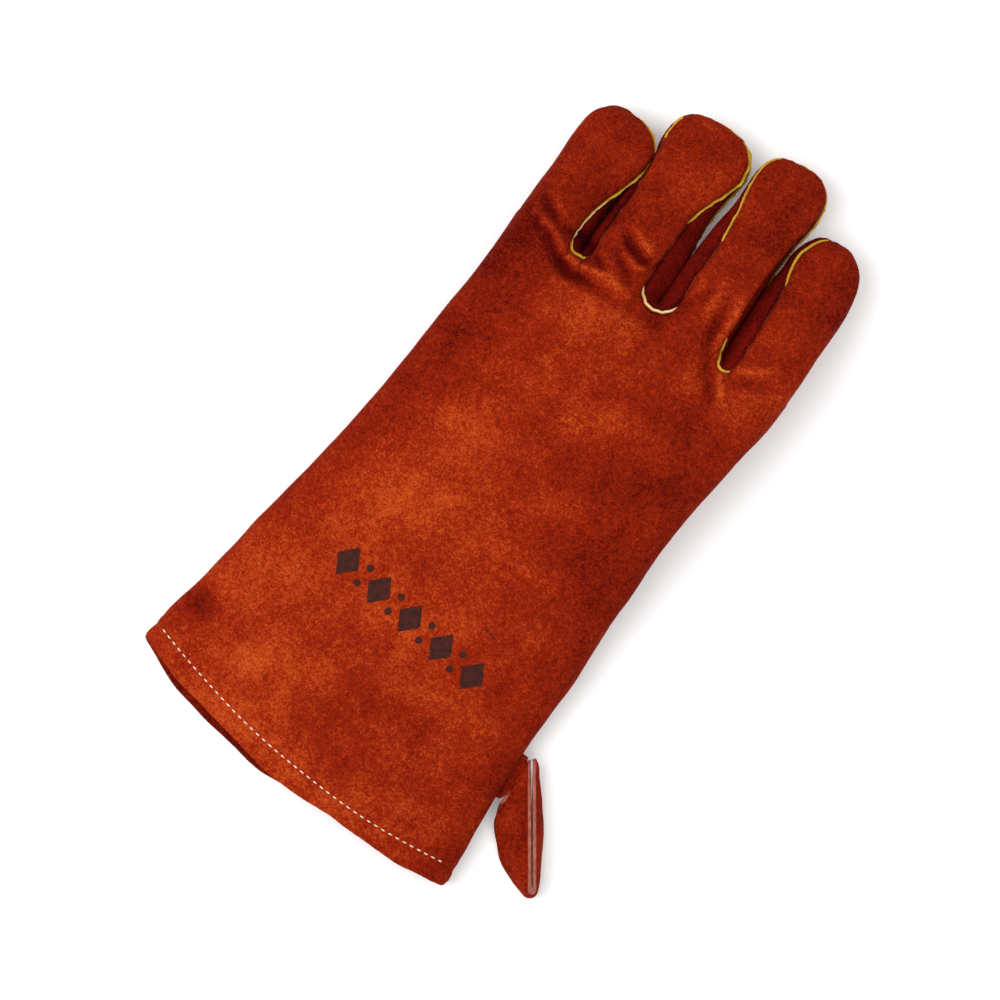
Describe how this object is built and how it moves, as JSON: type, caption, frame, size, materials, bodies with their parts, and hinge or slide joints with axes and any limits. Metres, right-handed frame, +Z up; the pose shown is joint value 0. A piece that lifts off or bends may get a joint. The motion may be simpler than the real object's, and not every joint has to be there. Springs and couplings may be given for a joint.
{
  "type": "heat resistant glove",
  "caption": "Left-hand gauntlet glove of split leather with separate fingers, welted seams, a turned cuff hem and a leather hanging loop.",
  "frame": {"origin": "centre of the bounding box in plan, on the surface the glove lies on", "axes": "+Y towards the fingertips, +X towards the thumb side, +Z up out of the back of the hand"},
  "size_m": [0.2134, 0.3655, 0.0475],
  "materials": {
    "leather": "napped split leather",
    "welt": "smooth leather strip",
    "lining": "brushed cotton",
    "thread": "twisted thread"
  },
  "bodies": {
    "hand": {"back_panel": "leather", "palm_panel": "leather", "cuff_front_panel": "leather", "cuff_hem": "leather", "hem_stitching": "thread", "side_seam_welts": "welt", "wrist_seam_welt": "welt", "crotch_gussets": "leather", "crotch_welts": "welt", "hand_lining": "lining", "cuff_lining": "lining", "thumb_base_outer": "leather", "thumb_base_inner": "leather", "thumb_base_seam_welt": "welt", "thumb_base_lining": "lining", "thumb_hole_welt": "welt", "hang_loop_root": "leather"},
    "little_finger": {"little_finger_back": "leather", "little_finger_front": "leather", "little_finger_fourchette": "leather", "little_finger_welts": "welt", "little_finger_lining": "lining"},
    "ring_finger": {"ring_finger_back": "leather", "ring_finger_front": "leather", "ring_finger_fourchette_left": "leather", "ring_finger_fourchette_right": "leather", "ring_finger_welts": "welt", "ring_finger_lining": "lining"},
    "middle_finger": {"middle_finger_back": "leather", "middle_finger_front": "leather", "middle_finger_fourchette_left": "leather", "middle_finger_fourchette_right": "leather", "middle_finger_welts": "welt", "middle_finger_lining": "lining"},
    "index_finger": {"index_finger_back": "leather", "index_finger_front": "leather", "index_finger_fourchette": "leather", "index_finger_welts": "welt", "index_finger_lining": "lining"},
    "thumb": {"thumb_back": "leather", "thumb_front": "leather", "thumb_welt": "welt", "thumb_lining": "lining"},
    "hang_loop": {"hang_loop": "leather"}
  },
  "joints": [
    {"name": "little_finger_bend", "type": "hinge", "parent": "hand", "child": "little_finger", "pos_m": [-0.043, 0.1, 0.011], "axis": [-1, 0, 0], "range_deg": [0, 70]},
    {"name": "ring_finger_bend", "type": "hinge", "parent": "hand", "child": "ring_finger", "pos_m": [-0.0055, 0.1, 0.011], "axis": [-1, 0, 0], "range_deg": [0, 70]},
    {"name": "middle_finger_bend", "type": "hinge", "parent": "hand", "child": "middle_finger", "pos_m": [0.0341, 0.1, 0.011], "axis": [-1, 0, 0], "range_deg": [0, 70]},
    {"name": "index_finger_bend", "type": "hinge", "parent": "hand", "child": "index_finger", "pos_m": [0.0722, 0.1, 0.011], "axis": [-1, 0, 0], "range_deg": [0, 70]},
    {"name": "thumb_open", "type": "hinge", "parent": "hand", "child": "thumb", "pos_m": [0.054, 0.038, 0], "axis": [-1, 0, 0], "range_deg": [0, 60]},
    {"name": "hang_loop_flap", "type": "hinge", "parent": "hand", "child": "hang_loop", "pos_m": [0.0734, -0.122, 0.009], "axis": [-0.0637, -0.998, 0], "range_deg": [-20, 50]}
  ]
}
